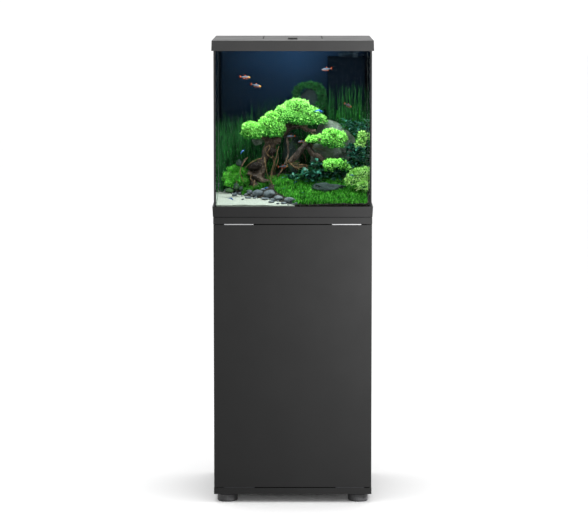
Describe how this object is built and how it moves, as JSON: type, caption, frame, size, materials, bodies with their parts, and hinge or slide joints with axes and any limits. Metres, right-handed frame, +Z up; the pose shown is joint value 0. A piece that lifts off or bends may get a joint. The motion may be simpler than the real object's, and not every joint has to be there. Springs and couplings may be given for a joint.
{
  "type": "aquarium on stand",
  "caption": "Cube glass aquarium with hinged-flap light lid, internal corner filter and planted layout, standing on a one-door cabinet on round feet.",
  "frame": {"origin": "centre of the footprint, on the floor under the feet", "axes": "+Z up, -Y out of the front (door side), +X to the viewer's right when facing the front"},
  "size_m": [0.411, 0.411, 1.1866],
  "materials": {
    "carcass": "satin anthracite foil on board",
    "foot_plastic": "satin grey plastic",
    "metal": "satin aluminium",
    "steel": "plated steel",
    "bush_plastic": "natural nylon",
    "lid_plastic": "satin anthracite plastic",
    "glass": "clear float glass",
    "silicone": "black silicone",
    "film": "dark blue film",
    "black_plastic": "satin black plastic",
    "diffuser": "opal plastic",
    "sponge": "open-cell foam",
    "carbon": "carbon fleece",
    "dial": "white plastic dial",
    "soil": "granular planted soil",
    "sand": "fine pale sand",
    "rock": "weathered grey rock",
    "slate": "dark slate",
    "driftwood": "wet dark driftwood",
    "moss": "bright green moss",
    "leaves": "green water plants",
    "carpet": "short green carpet plants"
  },
  "bodies": {
    "stand_and_tank": {"foot_front_left": "foot_plastic", "foot_front_right": "foot_plastic", "foot_rear_left": "foot_plastic", "foot_rear_right": "foot_plastic", "bottom_board": "carcass", "top_board": "carcass", "side_panel_left": "carcass", "side_panel_right": "carcass", "back_panel": "carcass", "shelf": "carcass", "shelf_cleat_left": "carcass", "shelf_cleat_right": "carcass", "hinge_bush_top": "bush_plastic", "hinge_bush_bottom": "bush_plastic", "latch_body": "bush_plastic", "base_frame": "lid_plastic", "glass_bottom": "glass", "glass_front": "glass", "glass_back": "glass", "glass_left": "glass", "glass_right": "glass", "silicone_seal": "silicone", "background_film": "film", "filter_housing": "black_plastic", "filter_sponge": "sponge", "filter_media_pad": "carbon", "pump_body": "black_plastic", "heater_tube": "glass", "soil": "soil", "sand": "sand", "driftwood": "driftwood", "rock_right": "rock", "rock_centre": "slate", "slate_stone": "slate", "moss_crown_top": "moss", "moss_crown_middle": "moss", "moss_crown_left": "moss", "moss_crown_centre": "moss", "moss_crown_right": "moss", "bush_left": "leaves", "grass_left": "leaves", "grass_centre": "leaves", "grass_carpet": "carpet"},
    "door": {"door": "carcass", "hinge_plate_top": "steel", "hinge_plate_bottom": "steel", "edge_strip_top_left": "metal", "edge_strip_top_right": "metal", "edge_strip_bottom_left": "metal", "edge_strip_bottom_right": "metal", "latch_strike": "steel"},
    "latch_button": {"latch_plunger": "bush_plastic"},
    "lid": {"lid_cover": "lid_plastic", "flap_pin": "steel", "light_bar": "metal", "light_diffuser": "diffuser"},
    "flap": {"lid_flap": "lid_plastic"},
    "impeller": {"pump_impeller": "bush_plastic"},
    "nozzle": {"pump_nozzle": "black_plastic"},
    "dial": {"heater_dial": "dial"}
  },
  "joints": [
    {"name": "door_hinge", "type": "hinge", "parent": "stand_and_tank", "child": "door", "pos_m": [-0.1935, -0.195, 0.38], "axis": [0, 0, -1], "range_deg": [0, 110]},
    {"name": "latch_press", "type": "slide", "parent": "stand_and_tank", "child": "latch_button", "axis": [0, 1, 0], "range_m": [0, 0.003], "stiffness_N_per_m": 300, "springref_m": -0.004},
    {"name": "lid_lift", "type": "slide", "parent": "stand_and_tank", "child": "lid", "axis": [0, 0, 1], "range_m": [0, 0.12]},
    {"name": "flap_hinge", "type": "hinge", "parent": "lid", "child": "flap", "pos_m": [0, 0.1935, 1.179], "axis": [-1, 0, 0], "range_deg": [0, 100]},
    {"name": "impeller_spin", "type": "hinge", "parent": "stand_and_tank", "child": "impeller", "pos_m": [0.164, 0.128, 1.01], "axis": [0, 0, 1], "continuous": true},
    {"name": "nozzle_swivel", "type": "hinge", "parent": "stand_and_tank", "child": "nozzle", "pos_m": [0.164, 0.128, 1.13], "axis": [0, 0, 1], "range_deg": [-40, 40]},
    {"name": "heater_dial_turn", "type": "hinge", "parent": "stand_and_tank", "child": "dial", "pos_m": [0.117, 0.169, 1.08], "axis": [0, 0, 1], "range_deg": [0, 270]}
  ]
}
